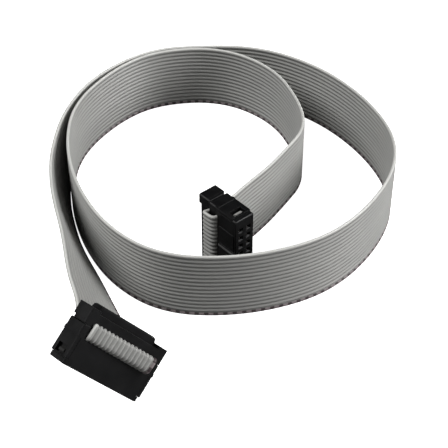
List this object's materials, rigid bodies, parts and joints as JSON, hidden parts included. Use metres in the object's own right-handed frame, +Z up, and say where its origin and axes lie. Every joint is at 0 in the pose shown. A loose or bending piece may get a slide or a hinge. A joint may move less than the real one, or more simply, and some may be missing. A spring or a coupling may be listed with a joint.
{
  "type": "idc ribbon cable",
  "caption": "Flat grey multi-conductor ribbon cable coiled on its edge, with a black insulation-displacement socket and strain relief crimped on each end.",
  "frame": {"origin": "on the floor, under the middle of the box that holds the two sockets", "axes": "+Z up; the cable stands on its edge on the floor, its coil behind the sockets along +Y; -Y is the side it is looked at from, where one socket leans on a corner; the other socket stands inside the coil on the end of its clip"},
  "size_m": [0.0958, 0.1351, 0.0296],
  "materials": {
    "ribbon": "satin grey PVC",
    "socket_plastic": "moulded, fine matte",
    "contact_metal": "tin plated"
  },
  "bodies": {
    "root": {"ribbon": "ribbon", "standing_housing": "socket_plastic", "standing_cover": "socket_plastic", "standing_clip": "socket_plastic", "leaning_housing": "socket_plastic", "leaning_cover": "socket_plastic", "leaning_clip": "socket_plastic", "standing_contact_01": "contact_metal", "standing_contact_02": "contact_metal", "standing_contact_03": "contact_metal", "standing_contact_04": "contact_metal", "standing_contact_05": "contact_metal", "standing_contact_06": "contact_metal", "standing_contact_07": "contact_metal", "standing_contact_08": "contact_metal", "standing_contact_09": "contact_metal", "standing_contact_10": "contact_metal", "standing_contact_11": "contact_metal", "standing_contact_12": "contact_metal", "standing_contact_13": "contact_metal", "standing_contact_14": "contact_metal", "standing_contact_15": "contact_metal", "standing_contact_16": "contact_metal", "leaning_contact_01": "contact_metal", "leaning_contact_02": "contact_metal", "leaning_contact_03": "contact_metal", "leaning_contact_04": "contact_metal", "leaning_contact_05": "contact_metal", "leaning_contact_06": "contact_metal", "leaning_contact_07": "contact_metal", "leaning_contact_08": "contact_metal", "leaning_contact_09": "contact_metal", "leaning_contact_10": "contact_metal", "leaning_contact_11": "contact_metal", "leaning_contact_12": "contact_metal", "leaning_contact_13": "contact_metal", "leaning_contact_14": "contact_metal", "leaning_contact_15": "contact_metal", "leaning_contact_16": "contact_metal"}
  },
  "joints": []
}
